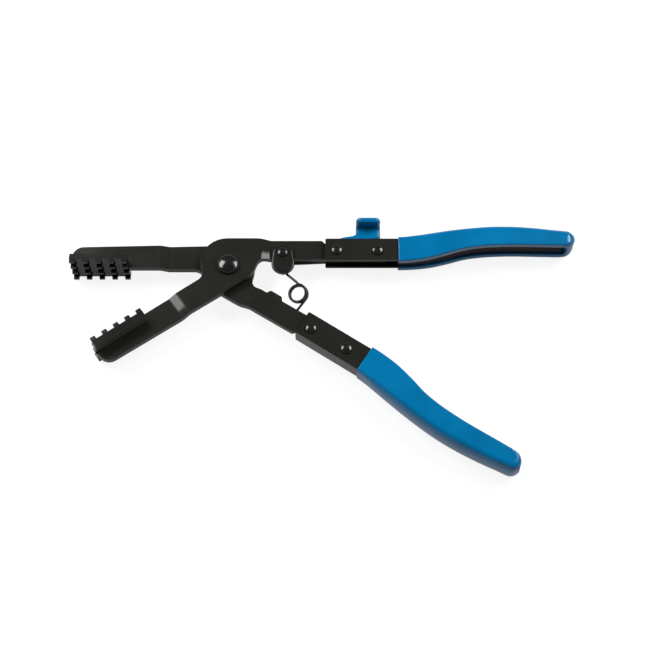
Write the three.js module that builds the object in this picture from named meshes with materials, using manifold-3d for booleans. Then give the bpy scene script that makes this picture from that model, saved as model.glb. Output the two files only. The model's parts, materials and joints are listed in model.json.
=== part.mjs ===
// Angled hose clamp pliers: two crossing steel arms with cross-grooved jaw pads, channel handles
// dipped in vinyl, an opening spring, and a handle catch worked by a thumb lever.
// Millimetres, +Z up. The pliers lie flat: the arms' common mid-plane is level.
import * as THREE from 'three';
import { mergeVertices } from 'three/addons/utils/BufferGeometryUtils.js';
import Module from 'manifold-3d';

const wasm = await Module();
wasm.setup();

// Overall layout
const handleSpread = THREE.MathUtils.degToRad(32.5); // between the two handles, standing open
const jawSpread = THREE.MathUtils.degToRad(35.4); // between the two jaws, standing open
const seat = 0.3; // gap left between pieces that touch
const overrun = 4; // how far every cut runs past the solid that it cuts
const armThickness = 3.8;
const discRadius = 15.5;
const discTangentJaw = THREE.MathUtils.degToRad(15.4); // where the jaw's crotch leaves the disc
const discTangentHandle = THREE.MathUtils.degToRad(-20); // where the handle's crotch leaves it
const crotchRadius = 6;
const cornerRadius = 1.4;

// Pivot
const pivotRadius = 4;
const pivotHeadRadius = 6.4;
const pivotHeadHeight = 4.6;
const pivotFarHeight = 2.2;
const runningClearance = 0.25; // round a pin that turns in its hole

// Jaws, measured from the pivot along the jaw and outwards from its teeth
const jawEndInner = 91.6;
const jawEndOuter = 95.3; // before its corner is rounded
const lowerJawLift = 0.7; // how far the lower jaw stands in towards the upper one
const lowerJawRoot = 14.3; // back edge of the lower jaw, at the disc
const lowerJawTip = 12.6;
const lowerJawInner = -1.4;
const upperJawRoot = 15.2;
const upperJawTip = 12.9;
const upperJawInner = -0.8;
const jawTipRadius = 6.6;
const jawJoggleStart = 34.6;
const jawJoggleEnd = 41.4;

// Toothed pads
const padLength = 34;
const padEnd = 93; // its outer end, from the pivot
const padDepth = 22.1;
const padThickness = 3.2;
const padRoot = 0.3; // where its toothed face lies
const padSlotFloor = 1.1; // steel left between the slot and the toothed face
const toothColumns = 5;
const toothRows = 4;
const toothLength = 3.4;
const toothWidth = 2;
const toothHeight = 2.3;
const toothLean = 0.15; // how much each flank of a tooth leans in

// Handles of the arms, measured from the pivot along the handle and outwards from its mid-line
const frontDiscTop = 18.1; // outer edge of the front arm where it passes the disc
const frontOuter = 17.4;
const frontInner = 4.8;
const rearDiscTop = 16.5;
const rearOuter = 15.7;
const rearInner = 2.3;
const narrowingStart = 16; // where the outer edge starts to draw in
const narrowingRadius = 9;
const handleJoggleStart = 18.5;
const handleJoggleEnd = 25.5;
const tailEnd = 94;

// Channels riveted over the tails
const channelStart = 57.3;
const channelOuter = 16.9;
const channelOpen = 2.6;
const channelWall = 1.3;
const channelCorner = 0.8;
const leverThickness = 1.2;
const sideGap = leverThickness + 2 * seat; // between an arm's face and a channel wall
const channelHalf = armThickness / 2 + sideGap + channelWall;
const upperEnd = 204.4;
const lowerEnd = 206.3;
const upperShift = 0.3; // how far each channel stands out from the common line
const lowerShift = 0.2;
const lowerLean = 0.021; // slope at which the lower channel leans away from it
const upperDeeper = 0.3; // how much deeper each channel is than the common one
const lowerDeeper = 1;
const rivetPlaces = [64.1, 88.2];
const rivetLine = 9.4;
const rivetRadius = 1.6;
const rivetHeadRadius = 3.25;
const rivetHeadHeight = 2;
const spacerRadius = 4.2;

// Grips: their curve runs from the channel's straight part to its end
const gripStart = 100.5;
const gripRise = 7.3; // how far the back of the grip climbs
const gripRiseShares = [[0, 0], [0.18, 0.36], [0.37, 0.74], [0.52, 0.94], [0.66, 0.95], [0.83, 0.76], [1, 0.5]];
const upperBelly = 10.2; // how far its open side climbs
const lowerBelly = 10.6;
const gripBellyShares = [[0, 0], [0.09, 0.05], [0.18, 0.19], [0.28, 0.46], [0.38, 0.76], [0.48, 0.92],
  [0.57, 0.98], [0.67, 1], [0.82, 0.97], [1, 0.93]];
const gripEndRadius = 4.4;
const gripSwell = 1.6; // how much the handle widens on each side from the grip's start
const gripSwellLength = 34;
const coatSide = 1.1;
const coatBack = 0.7;
const coatLip = 0.7;
const coatLipReach = 1;

// Opening spring
const springWire = 1.5;
const springRadius = 5.3; // to the middle of the wire
const springPitch = 1.97;
const springTurns = 2;
const springCentre = [41.3, -16.8];
const springFirstTurn = THREE.MathUtils.degToRad(84); // where the coil leaves its first leg
const springLegTurn = THREE.MathUtils.degToRad(133.8); // the way that this leg points
const springLegEnd = [33.7, -3.8];
const springBend = [48.5, 6.9]; // bend of the other leg, on the lower handle
const hookShare = 0.5; // of a turn round the anchor
const springSteps = 8;
const springSides = 5;
const anchorPlace = [42.6, 11.3];
const anchorRadius = 1.5;
const anchorHeadRadius = 3.2;
const anchorHeadThickness = 1.1;
const anchorTop = 0.7; // height that its blind hole reaches, short of the arm's near face

// Catch on the upper arm, hook on the lower one
const catchPlace = [32, 7.9];
const catchBowl = [32.2, 1.15]; // middle of its round lower end
const catchPinRadius = 1.8;
const catchHeadRadius = 3;
const catchHeadHeight = 1.8;
const catchFarHeight = 1.2;
const catchThickness = 2.7;
const catchSheet = 1.2;
const catchShoulder = 5.9;
const catchRadius = 6.8;
const catchBevel = 1.1;
const lipWidth = 3.4;
const lipThickness = 1.2;
const lipDepth = 2.8; // how far the lip reaches down beside the arm's edge
const crankRadius = 3.3;
const crankLug = [36.8, 7];
const crankLugRadius = 1.3;
const hookStart = 28;
const hookEnd = 39.1;
const hookTop = -0.1;
const hookShoulder = 2; // how far its front end slopes
const hookNose = 1.7;
const hookUndercut = 0.7;
const slitGap = 1.1;
const slitEnd = [34.2, 7.7];
const slitMouth = [38.4, 3.7];

// Thumb lever: a sheet lever beside the upper arm, out through a slot in the channel's back
const leverBoss = 4.4;
const leverTip = [37.6, 4.6];
const leverTipRadius = 0.9;
const leverPadStart = 76.8;
const leverPadEnd = 89;
const leverPadTop = 30;
const leverPadReach = 4.8; // height that the pad is bent over to, towards the near side
const leverBend = 0.8;
const leverNeck = 24.6; // where the upright part under the pad begins
const leverHeelRoot = [67.6, 6.9];
const leverElbow = [79, 17.2];
const leverRise = 2.6; // how much its lower edge climbs on from the elbow
const leverWaist = [71.9, 22.2];
const leverToe = [64.4, 18.9];
const leverToeRoot = [60.6, 12];
const leverCoat = 0.9;
const leverCoatFoot = [[61.8, 17.6], [91.2, 21.5]];
const leverSlotEnds = [60.5, 92];

// Fineness of curves
const arcStep = THREE.MathUtils.degToRad(11);
const gripSteps = 16;
const joggleSteps = 8;
const swellSteps = 6;
const bendShare = 0.25; // of a joggle's length, where its slope sets in and where it ends
const holeSides = 24;
const headRings = 5;

// Turns a closed three.js geometry into a solid that can be joined and cut.
function solid(geometry) {
  const plain = geometry.clone();
  plain.deleteAttribute('normal');
  plain.deleteAttribute('uv');
  const merged = mergeVertices(plain, 1e-5);
  return new wasm.Manifold(new wasm.Mesh({
    numProp: 3,
    vertProperties: new Float32Array(merged.attributes.position.array),
    triVerts: new Uint32Array(merged.index.array),
  }));
}

// Turns a solid back into a named mesh with its own material.
function piece(name, shape, finish) {
  const mesh = shape.getMesh();
  const geometry = new THREE.BufferGeometry();
  geometry.setAttribute('position', new THREE.BufferAttribute(new Float32Array(mesh.vertProperties), 3));
  geometry.setIndex(new THREE.BufferAttribute(new Uint32Array(mesh.triVerts), 1));
  geometry.computeVertexNormals();
  const result = new THREE.Mesh(geometry, new THREE.MeshStandardMaterial(finish));
  result.name = name;
  return result;
}

// A flat outline, given as points, carried upwards from low to high.
function prism(points, low, high) {
  const outline = new THREE.Shape(points.map(([x, y]) => new THREE.Vector2(x, y)));
  const geometry = new THREE.ExtrudeGeometry(outline, { depth: high - low, bevelEnabled: false, steps: 1 });
  return solid(geometry.translate(0, 0, low));
}

// An upright cylinder round a place.
function post([x, y], radius, low, high, sides = holeSides) {
  const geometry = new THREE.CylinderGeometry(radius, radius, high - low, sides);
  geometry.rotateX(Math.PI / 2);
  return solid(geometry.translate(x, y, (low + high) / 2));
}

// A turned piece: its profile of [radius, height] starts and ends on the axis.
function turned([x, y], profile, sides = holeSides) {
  const points = profile.map(([radius, height]) => new THREE.Vector2(radius, height));
  const geometry = new THREE.LatheGeometry(points, sides);
  geometry.rotateX(Math.PI / 2);
  return solid(geometry.translate(x, y, 0));
}

// The domed profile of a rivet head, from its rim up to its crown, or down to it.
function dome(radius, base, height) {
  const rings = [];
  for (let i = 0; i <= headRings; i += 1) {
    const turn = (i / headRings) * (Math.PI / 2);
    rings.push([radius * Math.cos(turn), base + height * Math.sin(turn)]);
  }
  rings[headRings][0] = 0;
  return rings;
}

// A rivet or pin with a domed head at each end and a shank between them.
function rivet(place, shank, headRadius, low, high, lowHeight, highHeight, sides = holeSides) {
  const bottom = dome(headRadius, low, -lowHeight).reverse();
  const top = dome(headRadius, high, highHeight);
  return turned(place, [...bottom, [shank, low], [shank, high], ...top], sides);
}

// Where two lines cross; each is a point and a direction.
function crossing(pointA, directionA, pointB, directionB) {
  const det = directionA[0] * directionB[1] - directionA[1] * directionB[0];
  const dx = pointB[0] - pointA[0];
  const dy = pointB[1] - pointA[1];
  const along = (dx * directionB[1] - dy * directionB[0]) / det;
  return [pointA[0] + along * directionA[0], pointA[1] + along * directionA[1]];
}

// An outline whose corners, each [x, y, radius], are rounded by arcs.
function rounded(corners) {
  const points = [];
  corners.forEach(([x, y, radius = 0], i) => {
    const before = corners[(i + corners.length - 1) % corners.length];
    const after = corners[(i + 1) % corners.length];
    const back = new THREE.Vector2(before[0] - x, before[1] - y).normalize();
    const on = new THREE.Vector2(after[0] - x, after[1] - y).normalize();
    const half = Math.acos(THREE.MathUtils.clamp(back.dot(on), -1, 1)) / 2;
    if (!radius || Math.PI - 2 * half < arcStep / 2) {
      points.push([x, y]);
      return;
    }
    const reach = radius / Math.tan(half);
    const middle = back.clone().add(on).normalize().multiplyScalar(radius / Math.sin(half));
    const centre = [x + middle.x, y + middle.y];
    const start = Math.atan2(y + back.y * reach - centre[1], x + back.x * reach - centre[0]);
    const end = Math.atan2(y + on.y * reach - centre[1], x + on.x * reach - centre[0]);
    let sweep = end - start;
    sweep -= 2 * Math.PI * Math.round(sweep / (2 * Math.PI));
    const steps = Math.max(2, Math.ceil(Math.abs(sweep) / arcStep));
    for (let k = 0; k <= steps; k += 1) {
      const turn = start + (sweep * k) / steps;
      points.push([centre[0] + radius * Math.cos(turn), centre[1] + radius * Math.sin(turn)]);
    }
  });
  return points;
}

// Moves an outline, walked anticlockwise, outwards by an amount, or inwards if it is negative.
function grown(points, amount) {
  return points.map(([x, y], i) => {
    const before = points[(i + points.length - 1) % points.length];
    const after = points[(i + 1) % points.length];
    const back = new THREE.Vector2(x - before[0], y - before[1]).normalize();
    const on = new THREE.Vector2(after[0] - x, after[1] - y).normalize();
    const bend = 1 + back.dot(on);
    return [x + (amount * (back.y + on.y)) / bend, y - (amount * (back.x + on.x)) / bend];
  });
}

// Outline of a strap with a round end at each place, [x, y, radius], anticlockwise.
function strap(first, second) {
  const run = new THREE.Vector2(second[0] - first[0], second[1] - first[1]);
  const lean = Math.acos((first[2] - second[2]) / run.length());
  const arc = ([x, y, radius], from, to) => {
    const steps = Math.ceil((to - from) / arcStep);
    return Array.from({ length: steps + 1 }, (_, i) => {
      const turn = from + ((to - from) * i) / steps;
      return [x + radius * Math.cos(turn), y + radius * Math.sin(turn)];
    });
  };
  return [
    ...arc(first, run.angle() + lean, run.angle() + 2 * Math.PI - lean),
    ...arc(second, run.angle() - lean, run.angle() + lean),
  ];
}

// Turns points about the pivot in the arms' own plane, after turning them over if asked.
function posed(points, angle, turnedOver) {
  const sign = turnedOver ? -1 : 1;
  const moved = points.map(([x, y]) => [
    x * Math.cos(angle) - sign * y * Math.sin(angle),
    x * Math.sin(angle) + sign * y * Math.cos(angle),
  ]);
  return turnedOver ? moved.reverse() : moved;
}

// Each side of the pliers has the frame that its places are measured in: u along the handle or
// jaw from the pivot, v outwards. The front arm holds the upper handle and the lower jaw.
const handleFrames = {
  upper: (points) => posed(points, 0, false),
  lower: (points) => posed(points, -handleSpread, true),
};
const jawFrames = {
  upper: (points) => posed(points, Math.PI, true),
  lower: (points) => posed(points.map(([u, v, ...rest]) => [u, v - lowerJawLift, ...rest]),
    Math.PI + jawSpread, false),
};

// Where the jaw's edge stops, so that the pad's slot takes it.
const padNotch = padRoot + padSlotFloor + seat;

// Outline of one arm, with its handle along +X: round the pivot disc, out along the jaw, which
// lies at an angle anticlockwise from the handle, and back.
function armOutline(jawAngle, band, jawEdges, tail) {
  const jaw = (w, t, radius) => {
    const [[x, y]] = posed([[w, t - jawEdges.lift]], jawAngle, false);
    return [x, y, radius];
  };
  const tangentPoint = (angle) => [discRadius * Math.cos(angle), discRadius * Math.sin(angle)];
  const tangentRun = (angle) => [-Math.sin(angle), Math.cos(angle)];
  const leftAngle = jawAngle - discTangentJaw;
  const jawRun = [Math.cos(jawAngle), Math.sin(jawAngle)];
  const leftCorner = crossing([0, band.top], [1, 0], tangentPoint(leftAngle), tangentRun(leftAngle));
  const jawCrotch = crossing(tangentPoint(leftAngle), tangentRun(leftAngle),
    jaw(0, jawEdges.inner), jawRun);
  const backRun = posed([[jawEndOuter, jawEdges.tip - jawEdges.root]], jawAngle, false)[0];
  const rightCorner = crossing(jaw(0, jawEdges.root), backRun,
    tangentPoint(discTangentHandle), tangentRun(discTangentHandle));
  const handleCrotch = crossing(tangentPoint(discTangentHandle), tangentRun(discTangentHandle),
    [0, band.inner], [1, 0]);
  const shoulder = channelStart - seat;
  const padStart = padEnd - padLength;
  return rounded([
    [tailEnd, band.inner, cornerRadius],
    [tailEnd, tail, cornerRadius],
    [shoulder, tail, 0],
    [shoulder - (band.outer - tail), band.outer, 0],
    [handleJoggleEnd, band.outer, narrowingRadius],
    [narrowingStart, band.top, narrowingRadius],
    [...leftCorner, discRadius],
    [...jawCrotch, crotchRadius],
    jaw(padStart - seat, jawEdges.inner, 0),
    jaw(padStart - seat, padNotch, 0),
    jaw(jawEndInner, padNotch, 0),
    jaw(jawEndOuter, jawEdges.tip, jawTipRadius),
    [...rightCorner, discRadius],
    [...handleCrotch, crotchRadius],
  ]);
}

// A share that runs from 0 to 1 at one slope, but for a rounded part at each end.
function even(share) {
  const slope = 1 / (1 - bendShare);
  if (share > 1 / 2) {
    return 1 - even(1 - share);
  }
  return share < bendShare ? (slope * share * share) / (2 * bendShare) : slope * (share - bendShare / 2);
}

// A level strip of plate that rises or sinks by an S-bend: side view of the sheet.
function joggledSheet(level, start, end, length, angle) {
  const line = [[0, level]];
  for (let i = 0; i <= joggleSteps; i += 1) {
    const share = i / joggleSteps;
    line.push([start + (end - start) * share, level * (1 - even(share))]);
  }
  line.push([length, 0]);
  const half = armThickness / 2;
  const band = [
    ...line.map(([s, z]) => [s, z - half]),
    ...line.map(([s, z]) => [s, z + half]).reverse(),
  ];
  const width = 2 * frontDiscTop;
  const outline = new THREE.Shape(band.map(([s, z]) => new THREE.Vector2(s, z)));
  const geometry = new THREE.ExtrudeGeometry(outline, { depth: 2 * width, bevelEnabled: false, steps: 1 });
  geometry.translate(0, 0, -width);
  geometry.rotateX(Math.PI / 2);
  geometry.rotateZ(angle);
  return solid(geometry);
}

// One arm: its outline carried through the bent sheet that it is pressed from.
function arm(outline, level, handleAngle, jawAngle, holes) {
  const half = armThickness / 2;
  const blank = prism(outline, -armThickness * 2, armThickness * 2);
  const sheet = joggledSheet(level, handleJoggleStart, handleJoggleEnd, tailEnd + overrun, handleAngle)
    .add(joggledSheet(level, jawJoggleStart, jawJoggleEnd, jawEndOuter + overrun, jawAngle))
    .add(post([0, 0], handleJoggleStart, level - half, level + half, 2 * holeSides));
  let shape = blank.intersect(sheet);
  holes.forEach(([place, radius]) => {
    shape = shape.subtract(post(place, radius, -armThickness * 2, armThickness * 2));
  });
  return shape;
}

const armLevel = armThickness / 2 + seat / 2;
const handleHoles = (frame, places) => places.map(([place, radius]) => [frame([place])[0], radius]);

// The front arm carries the upper handle and the lower jaw.
function frontArm() {
  const jawAngle = Math.PI + jawSpread;
  const outline = armOutline(jawAngle, { top: frontDiscTop, outer: frontOuter, inner: frontInner },
    { root: lowerJawRoot, tip: lowerJawTip, inner: lowerJawInner, lift: lowerJawLift },
    channelOuter + upperShift - channelWall - seat);
  return arm(outline, armLevel, 0, jawAngle, [
    [[0, 0], pivotRadius + runningClearance],
    [catchPlace, catchPinRadius + runningClearance],
    ...rivetPlaces.map((u) => [[u, rivetLine], rivetRadius + runningClearance]),
  ]);
}

// The rear arm is turned over: its own outline has the hook on the inner edge of its handle.
function rearArm() {
  const jawAngle = Math.PI - handleSpread;
  const outline = handleFrames.lower(armOutline(jawAngle,
    { top: rearDiscTop, outer: rearOuter, inner: rearInner },
    { root: upperJawRoot, tip: upperJawTip, inner: upperJawInner, lift: 0 },
    channelOuter + lowerShift - lowerLean * gripStart - channelWall - seat));
  const half = armThickness / 2;
  const [anchor] = handleFrames.lower([anchorPlace]);
  const shape = arm(outline, -armLevel, -handleSpread, Math.PI, [
    [[0, 0], pivotRadius + runningClearance],
    ...handleHoles(handleFrames.lower,
      rivetPlaces.map((u) => [[u, rivetLine], rivetRadius + runningClearance])),
  ]).subtract(post(anchor, anchorRadius + runningClearance, -half - overrun, anchorTop + seat));
  const tab = handleFrames.lower(rounded([
    [hookStart, rearInner + cornerRadius, 0],
    [hookStart + hookShoulder, hookTop, cornerRadius],
    [hookEnd - cornerRadius, hookTop, cornerRadius],
    [hookEnd, hookNose, 0],
    [hookEnd - hookUndercut, slitMouth[1], 0],
    [hookEnd - hookUndercut, slitEnd[1] - cornerRadius, 0],
  ].reverse()));
  const slitRun = new THREE.Vector2(slitEnd[0] - slitMouth[0], slitEnd[1] - slitMouth[1]).normalize();
  const side = [-slitRun.y * slitGap, slitRun.x * slitGap];
  const mouth = [slitMouth[0] - slitRun.x * slitGap, slitMouth[1] - slitRun.y * slitGap];
  const slit = handleFrames.lower([
    mouth,
    slitEnd,
    [slitEnd[0] - side[0], slitEnd[1] - side[1]],
    [mouth[0] - side[0], mouth[1] - side[1]],
  ]);
  return shape
    .add(prism(tab, -half, half))
    .subtract(prism(slit, -half - overrun, half + overrun));
}

// A cross-grooved pad: the rear of the plate is slotted to take the jaw's edge, and its face is
// milled both ways so that rows and columns of square teeth stand on it.
function jawPad(frame) {
  const start = padEnd - padLength;
  const place = (u, v) => frame([[u, v]])[0];
  const plate = prism(frame(rounded([
    [start, padRoot],
    [padEnd, padRoot],
    [padEnd, padRoot + padThickness, cornerRadius / 2],
    [start, padRoot + padThickness, cornerRadius / 2],
  ])), -padDepth / 2, padDepth / 2);
  const slotHalf = armThickness / 2 + seat;
  const slot = prism(frame([
    [start - overrun, padRoot + padSlotFloor],
    [padEnd + overrun, padRoot + padSlotFloor],
    [padEnd + overrun, padRoot + padThickness + overrun],
    [start - overrun, padRoot + padThickness + overrun],
  ]), -slotHalf, slotHalf);
  let shape = plate.subtract(slot);
  const columnPitch = (padLength - toothLength) / (toothColumns - 1);
  const rowPitch = (padDepth - toothWidth) / (toothRows - 1);
  for (let column = 0; column < toothColumns; column += 1) {
    for (let row = 0; row < toothRows; row += 1) {
      const u = start + column * columnPitch;
      const z = -padDepth / 2 + row * rowPitch;
      shape = shape.add(tooth(place, u, z));
    }
  }
  return shape;
}

// One tooth: a square block whose flanks lean in towards its tip.
function tooth(place, u, z) {
  const corners = [];
  [[padRoot + padSlotFloor / 2, 0], [padRoot - toothHeight, toothLean]].forEach(([v, draft]) => {
    [z + draft, z + toothWidth - draft].forEach((height) => {
      [u + draft, u + toothLength - draft].forEach((along) => {
        corners.push([...place(along, v), height]);
      });
    });
  });
  return hexahedron(corners);
}

// A six-sided block from its eight corners: the low four, then the high four.
function hexahedron(corners) {
  const faces = [[0, 2, 3, 1], [4, 5, 7, 6], [0, 1, 5, 4], [2, 6, 7, 3], [0, 4, 6, 2], [1, 3, 7, 5]];
  const index = faces.flatMap(([a, b, c, d]) => [a, b, c, a, c, d]);
  const geometry = new THREE.BufferGeometry();
  geometry.setAttribute('position', new THREE.Float32BufferAttribute(corners.flat(), 3));
  const middle = corners.reduce((sum, corner) => sum.map((value, i) => value + corner[i] / 8), [0, 0, 0]);
  const [a, b, c] = [corners[0], corners[2], corners[3]].map((corner) => new THREE.Vector3(...corner));
  const facing = b.sub(a).cross(c.sub(a)).dot(a.clone().sub(new THREE.Vector3(...middle)));
  geometry.setIndex(facing > 0 ? index : index.reverse());
  return solid(geometry);
}

// Height of the grip's curve at a place along the handle, from shares of its rise.
function climb(u, end, rise, shares) {
  const knots = shares.map(([along, up]) => new THREE.Vector2(along, up));
  const share = THREE.MathUtils.clamp((u - gripStart) / (end - gripStart), 0, 1);
  const last = knots.length - 1;
  const index = Math.min(knots.findIndex((knot) => knot.x >= share), last);
  if (index <= 0) {
    return rise * knots[0].y;
  }
  const from = knots[index - 1];
  const to = knots[index];
  const slope = (i) => {
    if (i === 0) {
      return 0;
    }
    const next = knots[Math.min(i + 1, last)];
    return (next.y - knots[i - 1].y) / (next.x - knots[i - 1].x);
  };
  const width = to.x - from.x;
  const t = (share - from.x) / width;
  const h00 = 2 * t ** 3 - 3 * t ** 2 + 1;
  const h10 = t ** 3 - 2 * t ** 2 + t;
  return rise * (h00 * from.y + (1 - h00) * to.y + width * (h10 * slope(index - 1)
    + (t ** 3 - t ** 2) * slope(index)));
}

// Side outline of a channel handle between two places, anticlockwise from its open side.
function channelOutline(side, start, end, inset, endRadius, startRadius = 0) {
  const open = [];
  const back = [];
  const line = (u) => side.shift + side.lean * (u - gripStart);
  for (let i = 0; i <= gripSteps; i += 1) {
    const u = THREE.MathUtils.lerp(Math.max(start, gripStart), end, i / gripSteps);
    open.push([u, line(u) + side.open + climb(u, side.end, side.belly, gripBellyShares) + inset.open]);
    back.push([u, line(u) + channelOuter + climb(u, side.end, gripRise, gripRiseShares) - inset.back]);
  }
  if (start < gripStart) {
    open.unshift([start, line(start) + side.open + inset.open]);
    back.unshift([start, line(start) + channelOuter - inset.back]);
  }
  const firstOpen = [...open[0], startRadius];
  const firstBack = [...back[0], startRadius];
  const lastOpen = [...open[open.length - 1], endRadius];
  const lastBack = [...back[back.length - 1], endRadius];
  return rounded([
    firstOpen,
    ...open.slice(1, -1),
    lastOpen,
    lastBack,
    ...back.slice(1, -1).reverse(),
    firstBack,
  ]);
}

// A handle layer: its side outline, as wide as the channel and a margin, swelling from the grip's
// start. Seen from its edge, this width is an outline of its own.
function layer(side, outline, margin) {
  const half = channelHalf + margin;
  const rise = [];
  for (let i = 0; i <= swellSteps; i += 1) {
    const share = i / swellSteps;
    rise.push([gripStart + gripSwellLength * share, half + gripSwell * share * share * (3 - 2 * share)]);
  }
  const edge = [
    [channelStart - 2 * overrun, half],
    ...rise,
    [side.end + 2 * overrun, half + gripSwell],
  ];
  const width = new THREE.Shape([
    ...edge.map(([u, z]) => new THREE.Vector2(u, -z)),
    ...edge.map(([u, z]) => new THREE.Vector2(u, z)).reverse(),
  ]);
  const depth = 4 * (channelOuter + gripRise);
  const geometry = new THREE.ExtrudeGeometry(width, { depth, bevelEnabled: false, steps: 1 });
  geometry.translate(0, 0, -depth / 2);
  geometry.rotateX(Math.PI / 2);
  geometry.rotateZ(side.angle);
  return prism(side.frame(outline), -half - 2 * gripSwell, half + 2 * gripSwell).intersect(solid(geometry));
}

// The folded channel: a curved box open along one side and at its front.
function channel(side, slotted) {
  const { frame } = side;
  const outer = channelOutline(side, channelStart, side.end, { open: 0, back: 0 }, gripEndRadius,
    channelCorner);
  const inner = channelOutline(side, channelStart - overrun, side.end - channelWall,
    { open: -overrun, back: channelWall }, gripEndRadius - channelWall);
  const innerHalf = channelHalf - channelWall;
  let shape = layer(side, outer, 0).subtract(layer(side, inner, -channelWall));
  rivetPlaces.forEach((u) => {
    const [place] = frame([[u, rivetLine]]);
    shape = shape.subtract(post(place, rivetRadius + runningClearance, -channelHalf - overrun,
      channelHalf + overrun));
  });
  if (slotted) {
    const low = channelOuter + side.shift - channelWall - seat;
    shape = shape.subtract(prism([
      [leverSlotEnds[0], low],
      [leverSlotEnds[1], low],
      [leverSlotEnds[1], low + overrun],
      [leverSlotEnds[0], low + overrun],
    ], -innerHalf, -innerHalf + leverThickness + 2 * seat));
  }
  return shape;
}

// The dipped coat: a skin round the channel, folded a little way in over its open edges.
function grip(side) {
  const coat = (back, open, start, end, radius, margin) => layer(side,
    channelOutline(side, start, end, { open, back }, radius), margin);
  const inner = -channelWall - seat;
  const innerEnd = side.end - channelWall - seat;
  const cutStart = gripStart - overrun;
  const under = coatLip + seat;
  const body = coat(-coatBack - seat, -under, gripStart, side.end + seat + coatSide,
    gripEndRadius + coatSide, seat + coatSide);
  const hollow = coat(-seat, -seat, cutStart, side.end + seat, gripEndRadius + seat, seat);
  const mouth = coat(channelWall, -under - overrun, cutStart, innerEnd - coatLip, coatLip,
    inner - coatLip);
  const folds = coat(channelWall, -under, gripStart, innerEnd, gripEndRadius - channelWall, inner)
    .subtract(coat(0, coatLipReach, cutStart, side.end, 0, overrun));
  return body.subtract(hollow).add(folds).subtract(mouth);
}

// Levels of the lever's sheet and of the spring's leg, and the way that this leg runs.
const legRun = [Math.cos(springLegTurn), Math.sin(springLegTurn)];
const leverLow = -armThickness / 2 - seat - leverThickness;
const leverHigh = leverLow + leverThickness;
const legHeight = -armThickness / 2 - seat - springWire / 2;

// The catch: a cup pressed from sheet, hanging on the near side of the upper arm. A four-sided lip
// is bent down from it, and the spring's leg stands square on the lip's face.
function catchCup() {
  const low = armThickness / 2 + seat;
  const outline = strap([...catchPlace, catchShoulder], [...catchBowl, catchRadius]);
  const shape = new THREE.Shape(outline.map(([x, y]) => new THREE.Vector2(x, y)));
  const pressed = new THREE.ExtrudeGeometry(shape, {
    depth: catchThickness,
    bevelThickness: catchBevel,
    bevelSize: catchBevel,
    bevelOffset: -catchBevel,
    bevelSegments: 2,
  });
  pressed.translate(0, 0, low - catchBevel);
  const inside = prism(grown(outline, -catchSheet), low - overrun, low + catchThickness - catchSheet);
  const middle = [
    springLegEnd[0] + legRun[0] * (seat + lipThickness / 2),
    springLegEnd[1] + legRun[1] * (seat + lipThickness / 2),
  ];
  const corner = (along, across) => [
    middle[0] + (legRun[0] * along * lipThickness - legRun[1] * across * lipWidth) / 2,
    middle[1] + (legRun[1] * along * lipThickness + legRun[0] * across * lipWidth) / 2,
  ];
  const lip = prism([corner(1, 1), corner(-1, 1), corner(-1, -1), corner(1, -1)],
    low - lipDepth, low + catchThickness - catchSheet / 2);
  return solid(pressed)
    .intersect(prism(grown(outline, overrun), low, low + catchThickness + overrun))
    .subtract(inside)
    .add(lip)
    .subtract(post(catchPlace, catchPinRadius + runningClearance, low, low + catchThickness + overrun));
}

// The crank on the far end of the catch's pin: the lever's tip lifts its lug.
function catchCrank() {
  return prism(strap([...catchPlace, crankRadius], [...crankLug, crankLugRadius]), leverLow, leverHigh)
    .subtract(post(catchPlace, catchPinRadius + runningClearance, leverLow - overrun, leverHigh + overrun));
}

// Side profile of the lever's thumb pad, bent over towards the near side, with a margin round it.
function padProfile(margin, start, end) {
  const top = leverPadTop + margin;
  const under = leverPadTop - leverThickness - margin;
  const profile = rounded([
    [leverLow - margin, leverNeck],
    [leverHigh + margin, leverNeck],
    [leverHigh + margin, under, leverBend],
    [leverPadReach + margin, under],
    [leverPadReach + margin, top],
    [leverLow - margin, top, leverBend + leverThickness],
  ]);
  const shape = new THREE.Shape(profile.map(([z, v]) => new THREE.Vector2(z, v)));
  const geometry = new THREE.ExtrudeGeometry(shape, { depth: end - start, bevelEnabled: false, steps: 1 });
  geometry.rotateY(-Math.PI / 2);
  return solid(geometry.translate(end, 0, 0));
}

// The lever's flat blade, from its boss up through the slot in the channel's back.
const leverBlade = [
  leverHeelRoot,
  leverElbow,
  [leverPadEnd, leverElbow[1] + leverRise],
  [leverPadEnd, leverNeck + leverThickness],
  [leverPadStart, leverNeck + leverThickness],
  [leverPadStart, leverNeck],
  leverWaist,
  leverToe,
  leverToeRoot,
];

// The thumb lever, bent up from sheet.
function lockLever() {
  const pivot = [rivetPlaces[0], rivetLine];
  return prism(strap([...pivot, leverBoss], [...leverTip, leverTipRadius]), leverLow, leverHigh)
    .add(prism(leverBlade, leverLow, leverHigh))
    .add(padProfile(0, leverPadStart, leverPadEnd))
    .subtract(post(pivot, rivetRadius + runningClearance, leverLow - overrun, leverHigh + overrun));
}

// The vinyl coat of the lever: a skin round its blade and pad, open below.
function leverSleeve() {
  const skin = seat + leverCoat;
  const wrap = (margin) => prism(grown(leverBlade, margin), leverLow - margin, leverHigh + margin)
    .add(padProfile(margin, leverPadStart - margin, leverPadEnd + margin));
  const [left, right] = leverCoatFoot;
  const above = prism([
    [left[0], left[1]],
    [right[0], right[1]],
    [right[0], leverPadTop + overrun],
    [left[0], leverPadTop + overrun],
  ], leverLow - overrun, leverPadReach + overrun);
  return wrap(skin).intersect(above).subtract(wrap(seat));
}

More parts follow.
